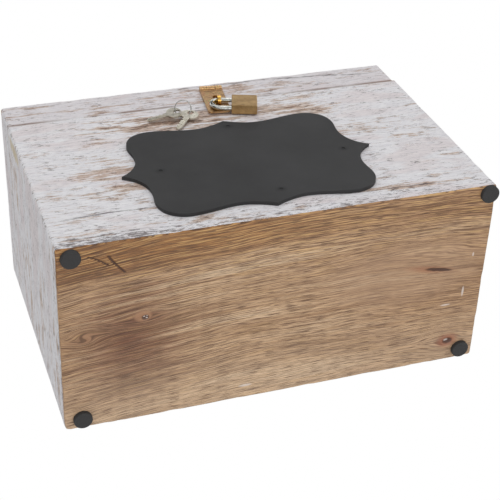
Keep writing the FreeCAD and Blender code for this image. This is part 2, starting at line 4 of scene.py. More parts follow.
import bmesh
import bpy
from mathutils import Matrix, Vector, noise


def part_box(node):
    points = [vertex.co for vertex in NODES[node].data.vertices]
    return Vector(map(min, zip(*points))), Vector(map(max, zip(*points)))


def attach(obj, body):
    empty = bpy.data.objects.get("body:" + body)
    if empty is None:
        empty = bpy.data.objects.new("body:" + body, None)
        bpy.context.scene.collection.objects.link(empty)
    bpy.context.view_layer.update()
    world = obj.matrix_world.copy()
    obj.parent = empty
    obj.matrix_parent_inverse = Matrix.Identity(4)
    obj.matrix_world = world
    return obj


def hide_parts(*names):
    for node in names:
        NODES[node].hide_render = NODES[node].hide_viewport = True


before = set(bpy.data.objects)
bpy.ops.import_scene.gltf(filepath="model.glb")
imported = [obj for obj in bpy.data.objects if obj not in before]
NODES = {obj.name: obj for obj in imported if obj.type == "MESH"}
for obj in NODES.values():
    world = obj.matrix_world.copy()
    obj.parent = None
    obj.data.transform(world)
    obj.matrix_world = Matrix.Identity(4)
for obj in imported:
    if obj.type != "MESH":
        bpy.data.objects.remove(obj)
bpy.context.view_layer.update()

# A whitewashed wedding card box with a natural wood underside, a chalkboard plaque, a brass hasp,
# a small padlock and two keys. Objects and meshes are in metres in the row frame. Materials, and
# the places and sizes of marks, are in millimetres in the same frame.

MM = 0.001

BOX_LOW, BOX_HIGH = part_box("bottom_board")
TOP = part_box("lid_top_panel")[1].z
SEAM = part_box("lid_front_rail")[0].z
CENTRE_Y = (BOX_LOW.y + BOX_HIGH.y) / 2
HALF_WIDTH = (BOX_HIGH.x - BOX_LOW.x) / 2
HALF_DEPTH = (BOX_HIGH.y - BOX_LOW.y) / 2

# Noise in wood: how fast it changes along and across the grain, per mm, and its detail and roughness
Grain = namedtuple("Grain", "along across detail roughness")

# The same in every direction
Cloud = namedtuple("Cloud", "scale detail roughness")

# Elliptical mark: middle, radii, and the distances, in radii, at which it begins and is full
Mark = namedtuple("Mark", "centre radii begin full")

# Smooth change: the value at which it begins, and the value at which it is full
Fade = namedtuple("Fade", "begin full")


def paint(red, green, blue):
    """Linear colour for a display colour given from 0 to 255."""
    return tuple(((c / 255 + 0.055) / 1.055) ** 2.4 for c in (red, green, blue)) + (1.0,)


# ---- shader building ----


class Shader:
    """A material's node tree, with a short method for each kind of node it uses."""

    def __init__(self, name, **surface):
        self.material = bpy.data.materials.new(name)
        self.material.use_nodes = True
        self.tree = self.material.node_tree
        self.surface = self.tree.nodes["Principled BSDF"]
        self.finish(**surface)

    def node(self, kind, inputs, output=0, **settings):
        made = self.tree.nodes.new("ShaderNode" + kind)
        for key, value in settings.items():
            setattr(made, key, value)
        for key, value in inputs.items():
            self.put(made.inputs[key], value)
        return made.outputs[output]

    def put(self, socket, value):
        if isinstance(value, bpy.types.NodeSocket):
            self.tree.links.new(value, socket)
        else:
            socket.default_value = value

    def math(self, operation, *values):
        return self.node("Math", dict(enumerate(values)), operation=operation)

    def add(self, a, b):
        return self.math("ADD", a, b)

    def subtract(self, a, b):
        return self.math("SUBTRACT", a, b)

    def times(self, a, b):
        return self.math("MULTIPLY", a, b)

    def weighted(self, *pairs):
        """Sum of each value times its weight."""
        total = self.times(*pairs[0])
        for value, weight in pairs[1:]:
            total = self.add(total, self.times(value, weight))
        return total

    def largest(self, first, *others):
        for value in others:
            first = self.math("MAXIMUM", first, value)
        return first

    def centred(self, value, amount):
        """Noise around 0, with its full range times amount."""
        return self.times(self.subtract(value, 0.5), amount)

    def blend(self, a, b, factor):
        """Number between a and b."""
        return self.node("Mix", {"Factor": factor, "A": a, "B": b}, data_type="FLOAT")

    def step(self, value, fade, start=0.0, end=1.0):
        """Smooth change from start at fade.begin to end at fade.full."""
        inputs = {"Value": value, "From Min": fade.begin, "From Max": fade.full}
        inputs |= {"To Min": start, "To Max": end}
        return self.node("MapRange", inputs, interpolation_type="SMOOTHSTEP")

    def colour(self, a, b, factor, mode="MIX"):
        inputs = {0: factor, 6: a, 7: b}
        return self.node("Mix", inputs, output=2, data_type="RGBA", blend_type=mode)

    def ramp(self, factor, stops):
        made = self.tree.nodes.new("ShaderNodeValToRGB")
        elements = made.color_ramp.elements
        while len(elements) < len(stops):
            elements.new(0.5)
        for element, (place, colour) in zip(elements, stops):
            element.position = place
            element.color = colour
        self.put(made.inputs["Fac"], factor)
        return made.outputs["Color"]

    def place(self):
        """Position on the object in millimetres, as one vector."""
        point = self.node("TexCoord", {}, output="Object")
        return self.node("VectorMath", {0: point, "Scale": 1 / MM}, operation="SCALE")

    def normal(self):
        return self.node("TexCoord", {}, output="Normal")

    def split(self, vector):
        made = self.tree.nodes.new("ShaderNodeSeparateXYZ")
        self.put(made.inputs[0], vector)
        return made.outputs[0], made.outputs[1], made.outputs[2]

    def join(self, x, y, z):
        return self.node("CombineXYZ", {0: x, 1: y, 2: z})

    def noise(self, vector, scale, detail, roughness, distortion=0.0):
        inputs = {"Vector": vector, "Scale": scale, "Detail": detail}
        inputs |= {"Roughness": roughness, "Distortion": distortion}
        return self.node("TexNoise", inputs)

    def grain(self, along, across, kind, layer):
        """Noise drawn out along the grain; each layer gives another pattern."""
        vector = self.join(self.times(along, kind.along), self.times(across, kind.across), layer)
        return self.noise(vector, 1.0, kind.detail, kind.roughness)

    def distance(self, a, b, centre, radii):
        """1 on the ellipse with that centre and those radii, 0 in its middle."""
        da = self.times(self.subtract(a, centre[0]), 1 / radii[0])
        db = self.times(self.subtract(b, centre[1]), 1 / radii[1])
        return self.math("SQRT", self.add(self.times(da, da), self.times(db, db)))

    def mark(self, a, b, mark, ragged=None):
        """1 inside the mark and 0 outside it; ragged moves its edge."""
        distance = self.distance(a, b, mark.centre, mark.radii)
        if ragged is not None:
            distance = self.add(distance, ragged)
        return self.step(distance, mark)

    def bump(self, height, distance, strength):
        return self.node("Bump", {"Height": height, "Distance": distance, "Strength": strength})

    def finish(self, **surface):
        for key, value in surface.items():
            self.put(self.surface.inputs[key.replace("_", " ")], value)
        return self.material


# ---- bare wood ----

# A side faces along an axis when that part of its normal is larger than this; the left and right
# ends have their own layer of noise
FACING = 0.7
SIDE_LAYER = 300.0

# Bare wood this far above the underside is inside the box. It is the same wood, taken a shift
# along the grain, past the knots and stains
INSIDE_HEIGHT = 6.0
PLAIN_WOOD_SHIFT = 700.0

WOOD_DRIFT = Grain(0.010, 0.016, 1.0, 0.5)
WOOD_BROAD = Grain(0.006, 0.05, 2.0, 0.5)
WOOD_STREAK = Grain(0.008, 0.30, 3.0, 0.55)
WOOD_FIBRE = Grain(0.034, 1.35, 3.0, 0.7)
WOOD_PORES = Grain(0.085, 2.3, 1.0, 0.5)
WOOD_THREAD = Grain(0.024, 1.05, 2.0, 0.75)

# The grain arches over the length of the board: middle (x), and its rise at the reach from there
ARCH_MIDDLE = 50.0
ARCH_REACH = 100.0
ARCH_RISE = 3.0
DRIFT_AMOUNT = 9.0

WOOD_TONES = [
    (0.38, paint(178, 140, 104)),
    (0.46, paint(204, 167, 130)),
    (0.54, paint(220, 185, 148)),
    (0.64, paint(230, 201, 168)),
]
FIBRE_SHADES = [
    (0.38, paint(128, 110, 96)),
    (0.47, paint(218, 212, 206)),
    (0.60, paint(255, 255, 255)),
]
FIBRE_STRENGTH = 0.95

# Figures in the grain of the underside: middle (x, y from the front edge), radii, push
UNDERSIDE_FIGURES = [
    ((-95.5, 62.0), (13.0, 5.5), 5.0),
    ((131.5, 129.0), (24.0, 11.0), 12.0),
    ((-136.0, 71.0), (12.0, 8.0), 9.5),
    ((118.0, 49.0), (46.0, 8.0), 5.0),
]

# Golden band along the front edge: fades in depth and along x, and its waviness
GOLD = paint(210, 178, 118)
GOLD_DEPTH = Fade(44.0, 20.0)
GOLD_LENGTH = Fade(110.0, -60.0)
GOLD_FAR_END = 0.30
GOLD_WAVES = 20.0
GOLD_STRENGTH = 0.9

# Broad changes of colour: the brown stain, painted shade darkening the two ends, painted light paling
# the back edge, and the calm wood at the slit
STAIN = Mark((-106.0, 82.0), (36.0, 46.0), 2.6, 1.3)
STAIN_WAVES = 2.4
STAIN_TINT = paint(176, 148, 138)
RIGHT_END = Fade(0.0, 90.0)
RIGHT_END_PAINTED_SHADE = paint(238, 231, 225)
LEFT_END = Fade(-30.0, -105.0)
LEFT_END_PAINTED_SHADE = paint(236, 230, 225)
BACK_EDGE = Fade(80.0, 150.0)
BACK_EDGE_PAINTED_LIGHT = paint(232, 206, 176)
BACK_EDGE_LIGHT_STRENGTH = 0.35
CALM = Mark((92.0, 62.0), (66.0, 30.0), 1.2, 0.5)
CALM_COLOUR = paint(182, 150, 122)
CALM_STRENGTH = 0.42
CALM_LINES = 0.4

# Fine dark and golden lines, strongest near the front edge, and short dark pores
LINES_DEPTH = Fade(56.0, 16.0)
LINES_ELSEWHERE = 0.35
DARK_LINES = Fade(0.47, 0.38)
DARK_LINE_COLOUR = paint(84, 54, 32)
DARK_LINE_STRENGTH = 0.75
GOLD_LINES = Fade(0.52, 0.62)
GOLD_LINE_COLOUR = paint(226, 184, 122)
GOLD_LINE_STRENGTH = 0.55
PORES = Fade(0.545, 0.62)
PORE_COLOUR = paint(96, 66, 44)
PORE_STRENGTH = 0.8

# Resin slit: it rises by its slope along x; the marks give y where it would cross x = 0
SLIT_SLOPE = 0.2
SLIT = Mark((116.5, 40.6), (11.0, 1.6), 1.15, 0.7)
SLIT_HALO = Mark((110.0, 40.4), (22.0, 3.6), 1.2, 0.2)
SLIT_HALO_COLOUR = paint(150, 84, 52)
SLIT_HALO_STRENGTH = 0.5

# Knots: the right one with a ruddy surround, the left one with a ring
KNOT_SURROUND = Mark((131.0, 128.5), (9.0, 6.5), 1.3, 0.4)
KNOT_SURROUND_COLOUR = paint(150, 92, 66)
KNOT_SURROUND_STRENGTH = 0.8
KNOT_RING = Mark((-97.0, 61.0), (6.0, 4.4), 1.2, 0.7)
KNOT_RING_COLOUR = paint(176, 132, 98)
KNOT_RING_STRENGTH = 0.6
RIGHT_KNOT = Mark((131.5, 129.2), (4.4, 3.0), 1.1, 0.6)
LEFT_KNOT = Mark((-95.5, 62.2), (2.8, 2.2), 1.1, 0.6)
RESIN = paint(62, 34, 24)
RESIN_STRENGTH = 0.9

# Dark hair cracks: start and end (x, y from the front edge), and how each bends
HAIR_CRACKS = [
    ((-131.5, 9.0), (-119.0, 17.0), 0.8),
    ((-118.5, 10.4), (-108.5, 24.0), 1.25),
]
HAIR_CRACK_WIDTH = Fade(1.5, 0.4)
HAIR_CRACK_END = 0.4

# Pale scratches, then pale spots in the knots: middle (x, y from the front edge), radii
PALE_MARKS = [
    ((125.5, 95.6), (4.5, 0.8)),
    ((-24.5, 135.0), (5.5, 1.2)),
    ((138.0, 86.0), (1.0, 5.0)),
    ((142.0, 55.0), (0.8, 2.0)),
    ((-96.3, 61.4), (0.9, 0.7)),
    ((-94.6, 62.8), (0.8, 0.6)),
    ((-94.4, 61.0), (0.6, 0.5)),
    ((130.0, 128.2), (2.0, 1.2)),
]
PALE_EDGE = Fade(1.1, 0.5)
PALE_COLOUR = paint(228, 216, 208)
PALE_STRENGTH = 0.7


def grain_axes(s, place):
    """Distance along and across the grain, level on every side of the box, and the side's layer."""
    x, y, z = s.split(place)
    nx = s.split(s.normal())[0]
    side = s.math("GREATER_THAN", s.math("ABSOLUTE", nx), FACING)
    along = s.blend(x, y, side)
    across = s.add(z, s.times(y, s.subtract(1.0, side)))
    return along, across, s.times(side, SIDE_LAYER)


def spread(s, along, across, lines, centre, radii, push):
    """Bends the grain lines apart round a knot, by up to about half of push."""
    distance = s.distance(along, across, centre, radii)
    fall = s.math("EXPONENT", s.times(s.times(distance, distance), -1.0))
    side = s.times(s.subtract(across, centre[1]), push / radii[1])
    return s.subtract(lines, s.times(side, fall))


def hair_crack(s, x, depth, start, end, bend):
    """1 on a thin bent line from start to end."""
    share = s.node("Clamp", {0: s.times(s.subtract(depth, start[1]), 1 / (end[1] - start[1]))})
    line = s.add(s.times(s.math("POWER", share, bend), end[0] - start[0]), start[0])
    near = s.step(s.math("ABSOLUTE", s.subtract(x, line)), HAIR_CRACK_WIDTH)
    begun = s.step(depth, Fade(start[1] - HAIR_CRACK_END, start[1]))
    ended = s.step(depth, Fade(end[1] + HAIR_CRACK_END, end[1]))
    return s.times(near, s.times(begun, ended))


def underside_tints_painted_shade_and_light(s, colour, x, depth, broad, streak):
    """Golden front band, brown stain, painted shade darkening the ends and painted light paling the
    back edge.
    """
    gold = s.step(s.add(depth, s.times(broad, GOLD_WAVES)), GOLD_DEPTH)
    gold = s.times(gold, s.step(x, GOLD_LENGTH, GOLD_FAR_END, 1.0))
    colour = s.colour(colour, GOLD, s.times(gold, GOLD_STRENGTH), "MULTIPLY")
    stain = s.mark(x, depth, STAIN, s.times(streak, STAIN_WAVES))
    colour = s.colour(colour, STAIN_TINT, stain, "MULTIPLY")
    # Painted shade: both ends of the underside are multiplied darker
    colour = s.colour(colour, RIGHT_END_PAINTED_SHADE, s.step(x, RIGHT_END), "MULTIPLY")
    colour = s.colour(colour, LEFT_END_PAINTED_SHADE, s.step(x, LEFT_END), "MULTIPLY")
    # Painted light: the underside is mixed paler towards the back edge
    return s.colour(colour, BACK_EDGE_PAINTED_LIGHT, s.times(s.step(depth, BACK_EDGE), BACK_EDGE_LIGHT_STRENGTH))


def underside_lines(s, colour, x, depth, lines):
    """Fine lines and pores, quieter in the calm wood at the slit."""
    calm = s.mark(x, depth, CALM)
    colour = s.colour(colour, CALM_COLOUR, s.times(calm, CALM_STRENGTH))
    quiet = s.blend(1.0, CALM_LINES, calm)
    thread = s.grain(x, lines, WOOD_THREAD, layer=21.0)
    amount = s.times(s.step(depth, LINES_DEPTH, LINES_ELSEWHERE, 1.0), quiet)
    dark = s.times(s.step(thread, DARK_LINES), s.times(amount, DARK_LINE_STRENGTH))
    colour = s.colour(colour, DARK_LINE_COLOUR, dark)
    gold = s.times(s.step(thread, GOLD_LINES), s.times(amount, GOLD_LINE_STRENGTH))
    colour = s.colour(colour, GOLD_LINE_COLOUR, gold)
    pores = s.step(s.grain(x, lines, WOOD_PORES, layer=2.0), PORES)
    return s.colour(colour, PORE_COLOUR, s.times(pores, s.times(quiet, PORE_STRENGTH)))


def underside_marks(s, colour, x, depth):
    """Knots, resin slit, hair cracks and scratches; returns the colour, and where the wood is dark."""
    surround = s.mark(x, depth, KNOT_SURROUND)
    colour = s.colour(colour, KNOT_SURROUND_COLOUR, s.times(surround, KNOT_SURROUND_STRENGTH))
    slit_depth = s.add(depth, s.times(x, -SLIT_SLOPE))
    halo = s.mark(x, slit_depth, SLIT_HALO)
    colour = s.colour(colour, SLIT_HALO_COLOUR, s.times(halo, SLIT_HALO_STRENGTH))
    ring = s.mark(x, depth, KNOT_RING)
    colour = s.colour(colour, KNOT_RING_COLOUR, s.times(ring, KNOT_RING_STRENGTH))

    slit = s.mark(x, slit_depth, SLIT)
    knots = [s.mark(x, depth, knot) for knot in (RIGHT_KNOT, LEFT_KNOT)]
    dark = s.largest(slit, *knots, *[hair_crack(s, x, depth, *crack) for crack in HAIR_CRACKS])
    colour = s.colour(colour, RESIN, s.times(dark, RESIN_STRENGTH))

    pale = s.largest(*[s.mark(x, depth, Mark(*place, *PALE_EDGE)) for place in PALE_MARKS])
    return s.colour(colour, PALE_COLOUR, s.times(pale, PALE_STRENGTH)), dark


def natural_wood(s, place):
    """Colour and height of the bare oiled wood, with the marks of the underside."""
    along, across, layer = grain_axes(s, place)
    inside = s.math("GREATER_THAN", s.split(place)[2], BOX_LOW.z / MM + INSIDE_HEIGHT)
    x = s.add(along, s.times(inside, PLAIN_WOOD_SHIFT))
    depth = s.subtract(across, (BOX_LOW.y + BOX_LOW.z) / MM)
    drift = s.grain(x, depth, WOOD_DRIFT, layer=3.0)
    from_middle = s.times(s.subtract(along, ARCH_MIDDLE), 1 / ARCH_REACH)
    arch = s.times(s.math("POWER", from_middle, 2.0), ARCH_RISE)
    lines = s.add(s.subtract(depth, arch), s.centred(drift, DRIFT_AMOUNT))
    for centre, radii, push in UNDERSIDE_FIGURES:
        lines = spread(s, x, depth, lines, centre, radii, push)

    broad = s.grain(x, lines, WOOD_BROAD, layer=1.0)
    streak = s.grain(x, lines, WOOD_STREAK, layer=5.0)
    fibre = s.grain(x, lines, WOOD_FIBRE, layer=9.0)
    tone = s.weighted((broad, 0.55), (streak, 0.45))
    colour = s.ramp(tone, WOOD_TONES)
    colour = s.colour(colour, s.ramp(fibre, FIBRE_SHADES), FIBRE_STRENGTH, "MULTIPLY")
    colour = underside_tints_painted_shade_and_light(s, colour, x, depth, broad, streak)
    colour = underside_lines(s, colour, x, depth, lines)
    colour, dark = underside_marks(s, colour, x, depth)
    return colour, s.weighted((tone, 0.3), (fibre, 0.5), (dark, -0.5))


# ---- whitewashed wood ----

PAINT_BEND = Grain(0.009, 0.016, 2.0, 0.5)
PAINT_BROAD = Grain(0.012, 0.040, 3.0, 0.55)
PAINT_STREAK = Grain(0.020, 0.22, 5.0, 0.70)
PAINT_BRUSH = Grain(0.055, 0.62, 4.0, 0.70)
PAINT_SCUFF = Grain(0.055, 0.12, 7.0, 0.78)
PAINT_FINE = Grain(0.22, 1.4, 3.0, 0.65)
PAINT_FLECKS = Grain(0.13, 0.95, 3.0, 0.7)
BEND_AMOUNT = 14.0

WHITE_SHADES = [
    (0.36, paint(200, 198, 204)),
    (0.46, paint(232, 230, 234)),
    (0.58, paint(246, 245, 247)),
]
THIN_PAINT_SHADES = [
    (0.38, paint(168, 146, 134)),
    (0.50, paint(208, 186, 171)),
    (0.62, paint(230, 214, 204)),
]
BARE_SHADES = [
    (0.38, paint(92, 76, 70)),
    (0.50, paint(146, 118, 100)),
    (0.62, paint(190, 160, 138)),
]

# How much paint there is: none below the first fade, thin paint up to the second, then white
THIN_PAINT = Fade(0.372, 0.402)
FULL_PAINT = Fade(0.425, 0.478)
PINK = Fade(0.50, 0.62)
PINK_TINT = paint(242, 228, 224)
PINK_STRENGTH = 0.45
# Painted shade: the front of the lid is multiplied a little darker than the front of the box
LID_PAINTED_SHADE = paint(246, 243, 243)

# Worn places on the front: middle (x, z), radii, strength
WORN_PLACES = [
    ((-100.0, 86.0), (26.0, 8.0), 0.9),
    ((-88.0, 68.0), (20.0, 7.0), 0.8),
    ((-88.0, 130.0), (26.0, 5.0), 0.6),
    ((-30.0, 150.0), (62.0, 16.0), 0.9),
    ((38.0, 146.0), (46.0, 14.0), 0.68),
    ((10.0, 188.0), (48.0, 10.0), 0.55),
    ((92.0, 17.0), (34.0, 4.0), 0.9),
    ((-100.0, 17.0), (24.0, 4.0), 0.5),
]
WORN_EDGE = Fade(1.5, 0.3)
WORN_RAGGED = 3.0
WORN_AMOUNT = -0.095

# Dark flecks: denser where scuffed, along the bottom edge, and at the front's lower left corner
FLECKS = Fade(0.635, 0.69)
FLECKS_GAIN = 0.10
FLECKS_SCUFFED = Fade(0.52, 0.40)
FLECKS_LOW = Fade(22.0, 8.0)
FLECKS_CORNER_LOW = Fade(15.0, 5.0)
FLECKS_CORNER_LEFT = Fade(-40.0, -100.0)
FLECK_COLOUR = paint(96, 86, 86)
FLECK_STRENGTH = 0.8

# Dark open grain lines on the front: start and end (x, z)
GRAIN_CRACKS = [
    ((-141.0, 37.0), (-80.0, 37.5)),
    ((-146.0, 13.5), (-90.0, 12.5)),
    ((-20.0, 200.0), (60.0, 199.0)),
    ((58.0, 198.5), (140.0, 190.5)),
    ((-60.0, 158.0), (6.0, 161.0)),
    ((40.0, 20.0), (124.0, 15.0)),
]
GRAIN_CRACK_WIDTH = Fade(1.0, 0.2)
GRAIN_CRACK_BEFORE = 4.0
GRAIN_CRACK_WITHIN = 8.0
GRAIN_CRACK_WAVES = 12.0
GRAIN_CRACK_GAPS = Fade(0.62, 0.46)
GRAIN_CRACK_COLOUR = paint(82, 74, 74)
GRAIN_CRACK_STRENGTH = 0.85

# Thin dark lines where the streak noise crosses one level
LINE_LEVEL = 0.46
LINE_WIDTH = Fade(0.006, 0.0)
LINE_GAPS = Fade(0.54, 0.46)
LINE_COLOUR = paint(104, 92, 92)
LINE_STRENGTH = 0.75

# Yellowed place on the left side, beside the front arris (y, z)
LEFT_RUB = Mark((-61.0, 150.0), (4.5, 21.0), 1.3, 0.6)
LEFT_RUB_RAGGED = 4.0
LEFT_RUB_COLOUR = paint(212, 196, 160)
LEFT_RUB_STRENGTH = 0.7

# Paint rubbed off the arrises, and the brown line along the seam of the lid
RAGGED_SCALE = 0.35
RAGGED = Cloud(1.0, 4.0, 0.7)
RUBBED_REACH = Fade(1.9, 0.2)
RUBBED_PLACES = Fade(0.50, 0.62)
RUBBED_COLOUR = paint(74, 62, 56)
RUBBED_STRENGTH = 0.85
SEAM_REACH = Fade(2.4, 0.3)
SEAM_PLACES = Fade(0.38, 0.60)
SEAM_COLOUR = paint(138, 108, 88)
SEAM_STRENGTH = 0.8

# The paint ends this far above the underside and this deep below the outer surface
PAINT_BOTTOM = 0.9
PAINT_BOTTOM_RAGGED = 1.2
PAINT_INWARD = 2.6
PAINT_INWARD_RAGGED = 0.8

# Roughness of bare worn wood, of paint and of oiled wood; how far the height of the surface goes and
# how strongly it shows
ROUGH_COVER = Fade(0.38, 0.55)
BARE_ROUGHNESS = 0.85
PAINT_ROUGHNESS = 0.62
NATURAL_ROUGHNESS = 0.5
WOOD_BUMP = (0.9 * MM, 0.9)


def arris_distance(s, place):
    """Depth below the outer surface, and distance from the nearest outer arris, on the box's sides."""
    x, y, z = s.split(place)
    a = s.subtract(HALF_WIDTH / MM, s.math("ABSOLUTE", x))
    b = s.subtract(HALF_DEPTH / MM, s.math("ABSOLUTE", s.subtract(y, CENTRE_Y / MM)))
    c = s.math("MINIMUM", s.subtract(z, BOX_LOW.z / MM), s.subtract(TOP / MM, z))
    smaller = s.math("MINIMUM", a, b)
    larger = s.math("MAXIMUM", a, b)
    depth = s.math("MINIMUM", smaller, c)
    arris = s.math("MAXIMUM", smaller, s.math("MINIMUM", larger, c))
    return depth, arris


def worn_places(s, x, z, streak):
    """How worn the paint of the front is, from 0 to 1."""
    ragged = s.centred(streak, WORN_RAGGED)
    return s.largest(*[
        s.times(s.mark(x, z, Mark(centre, radii, *WORN_EDGE), ragged), strength)
        for centre, radii, strength in WORN_PLACES
    ])


def paint_flecks(s, colour, x, z, flecks, scuff, front):
    """Small dark flecks where the paint has flaked."""
    corner = s.times(s.step(z, FLECKS_CORNER_LOW), s.times(s.step(x, FLECKS_CORNER_LEFT), front))
    low = s.step(z, FLECKS_LOW)
    amount = s.weighted((s.step(scuff, FLECKS_SCUFFED), 1.0), (low, 0.6), (corner, 0.9))
    seen = s.step(s.add(flecks, s.times(amount, FLECKS_GAIN)), FLECKS)
    return s.colour(colour, FLECK_COLOUR, s.times(seen, FLECK_STRENGTH))


def grain_crack(s, x, z, start, end, broad, scuff):
    """1 on a broken dark line from start to end."""
    slope = (end[1] - start[1]) / (end[0] - start[0])
    line = s.add(s.times(s.subtract(x, start[0]), slope), start[1])
    line = s.add(line, s.centred(broad, GRAIN_CRACK_WAVES))
    near = s.step(s.math("ABSOLUTE", s.subtract(z, line)), GRAIN_CRACK_WIDTH)
    begun = s.step(x, Fade(start[0] - GRAIN_CRACK_BEFORE, start[0] + GRAIN_CRACK_WITHIN))
    ended = s.step(x, Fade(end[0] + GRAIN_CRACK_BEFORE, end[0] - GRAIN_CRACK_WITHIN))
    return s.times(s.times(near, s.times(begun, ended)), s.step(scuff, GRAIN_CRACK_GAPS))


def whitewashed_board():
    """Worn white paint over brown wood; the underside and the inside are bare wood."""
    s = Shader("whitewashed_wood")
    place = s.place()
    x, y, z = s.split(place)
    along, across, layer = grain_axes(s, place)
    nx, ny, _ = s.split(s.normal())
    front = s.math("LESS_THAN", ny, -FACING)
    left = s.math("LESS_THAN", nx, -FACING)

    bend = s.grain(along, across, PAINT_BEND, layer)
    lines = s.add(across, s.centred(bend, BEND_AMOUNT))
    broad = s.grain(along, lines, PAINT_BROAD, layer)
    streak = s.grain(along, lines, PAINT_STREAK, layer)
    brush = s.grain(along, lines, PAINT_BRUSH, layer)
    scuff = s.grain(along, lines, PAINT_SCUFF, layer)
    fine = s.grain(along, lines, PAINT_FINE, layer)
    flecks = s.grain(along, lines, PAINT_FLECKS, layer)

    worn = s.times(worn_places(s, x, z, streak), front)
    cover = s.weighted((broad, 0.24), (streak, 0.26), (brush, 0.20), (scuff, 0.30), (worn, WORN_AMOUNT))
    white = s.ramp(s.weighted((brush, 0.5), (fine, 0.5)), WHITE_SHADES)
    thin = s.ramp(s.weighted((fine, 0.6), (brush, 0.4)), THIN_PAINT_SHADES)
    colour = s.colour(thin, white, s.step(cover, FULL_PAINT))
    colour = s.colour(s.ramp(fine, BARE_SHADES), colour, s.step(cover, THIN_PAINT))
    colour = s.colour(colour, PINK_TINT, s.times(s.step(broad, PINK), PINK_STRENGTH), "MULTIPLY")
    # Painted shade: the lid's front is made a little darker
    lid_painted_shade = s.times(s.math("GREATER_THAN", z, SEAM / MM), front)
    colour = s.colour(colour, LID_PAINTED_SHADE, lid_painted_shade, "MULTIPLY")

    colour = paint_flecks(s, colour, x, z, flecks, scuff, front)
    for start, end in GRAIN_CRACKS:
        crack = s.times(grain_crack(s, x, z, start, end, broad, scuff), front)
        colour = s.colour(colour, GRAIN_CRACK_COLOUR, s.times(crack, GRAIN_CRACK_STRENGTH))
    line = s.step(s.math("ABSOLUTE", s.subtract(streak, LINE_LEVEL)), LINE_WIDTH)
    line = s.times(line, s.step(scuff, LINE_GAPS))
    colour = s.colour(colour, LINE_COLOUR, s.times(line, LINE_STRENGTH))
    rub = s.times(s.mark(y, z, LEFT_RUB, s.centred(scuff, LEFT_RUB_RAGGED)), left)
    colour = s.colour(colour, LEFT_RUB_COLOUR, s.times(rub, LEFT_RUB_STRENGTH))

    depth, arris = arris_distance(s, place)
    ragged = s.noise(s.join(*[s.times(part, RAGGED_SCALE) for part in (x, y, z)]), *RAGGED)
    rubbed = s.times(s.step(arris, RUBBED_REACH), s.step(ragged, RUBBED_PLACES))
    colour = s.colour(colour, RUBBED_COLOUR, s.times(rubbed, RUBBED_STRENGTH))
    seam = s.step(s.math("ABSOLUTE", s.subtract(z, SEAM / MM)), SEAM_REACH)
    seam = s.times(seam, s.step(broad, SEAM_PLACES))
    colour = s.colour(colour, SEAM_COLOUR, s.times(seam, SEAM_STRENGTH))

    wood_colour, wood_height = natural_wood(s, place)
    low = s.add(s.subtract(z, BOX_LOW.z / MM), s.centred(ragged, PAINT_BOTTOM_RAGGED))
    under = s.math("LESS_THAN", low, PAINT_BOTTOM)
    inside = s.math("GREATER_THAN", s.add(depth, s.times(ragged, PAINT_INWARD_RAGGED)), PAINT_INWARD)
    natural = s.largest(under, inside)
    height = s.blend(s.weighted((cover, 0.7), (fine, 0.3)), wood_height, natural)
    roughness = s.step(cover, ROUGH_COVER, BARE_ROUGHNESS, PAINT_ROUGHNESS)
    return s.finish(
        Base_Color=s.colour(colour, wood_colour, natural),
        Roughness=s.blend(roughness, NATURAL_ROUGHNESS, natural),
        Normal=s.bump(height, *WOOD_BUMP),
    )


# ---- worn boards ----

BOARDS = [name for name in NODES if name.endswith(("_board", "_rail", "_panel"))]
SAME_PLACE = 0.001 * MM
FLAT = math.radians(0.5)
SHARP = math.radians(38.0)

# Cells of the boards along x, y and z; through a board's thickness they are larger
CELLS = (4.0 * MM, 4.0 * MM, 4.0 * MM)
UNDERSIDE_CELLS = (2.5 * MM, 1.5 * MM, 4.0 * MM)
THIN = 12.0 * MM
THIN_CELL = 20.0 * MM
EDGE_CUTS = (0.7 * MM, 1.4 * MM, 2.2 * MM)
CUT_NEAR = 1e-6

# Closer cuts along x where the hair cracks are
CRACKS_LEFT = -132.0 * MM
CRACK_STEP = 0.8 * MM
CRACK_CUTS = 31

# A point within the reach of an outer side is in its margin. It is moved when it is far enough into
# a margin, from 0 to 1, and it is on the underside when it is nearly all the way down
WEAR_REACH = 3.0 * MM
WEAR_BEGINS = 0.75
ON_UNDERSIDE = -0.9
SEAM_BEGINS = 2.5 * MM
SEAM_FULL = 0.3 * MM

# Wear: noise scales per mm, and depths in mm where the noise is 1
CHIP_SCALES = (0.045, 0.13)
FINE_CHIPS = 0.6
CHIP_BIAS = 0.10
CHIP_DEPTH = 0.65
SEAM_CHIP_SCALE = 0.16
SEAM_CHIP_LAYER = Vector((9.0, 0.0, 0.0))
SEAM_CHIP_DEPTH = 0.45
WAVE_SCALES = (0.02, 0.05, 0.11)
WAVE_BIAS = 0.6
WAVE_DEPTH = 0.10

# Hollows in the underside: middle (x, y from the front edge), radii, depth, slope
UNDERSIDE_HOLLOWS = [
    ((116.5, 63.9), (11.0, 1.9), 0.5, SLIT_SLOPE),
    ((131.5, 129.2), (4.4, 3.0), 0.5, 0.0),
    ((-95.5, 62.2), (2.8, 2.2), 0.4, 0.0),
]
HOLLOW_EDGE = Fade(1.3, 0.5)
CRACK_DEPTH = 0.5
CRACK_EDGE = Fade(1.1, 0.3)
GROOVE_SCALES = (0.02, 0.22)
GROOVE_LAYER = 4.0
GROOVE_DEPTH = 0.05


def smooth(value, begin, full):
    """Smooth change from 0 at begin to 1 at full."""
    share = min(max((value - begin) / (full - begin), 0.0), 1.0)
    return share * share * (3.0 - 2.0 * share)


def outer_corners(lid):
    """Lowest and highest corner of the lid or of the box below it."""
    if lid:
        low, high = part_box("lid_top_panel")
        return Vector((low.x, low.y, SEAM)), high
    return BOX_LOW, Vector((BOX_HIGH.x, BOX_HIGH.y, SEAM))


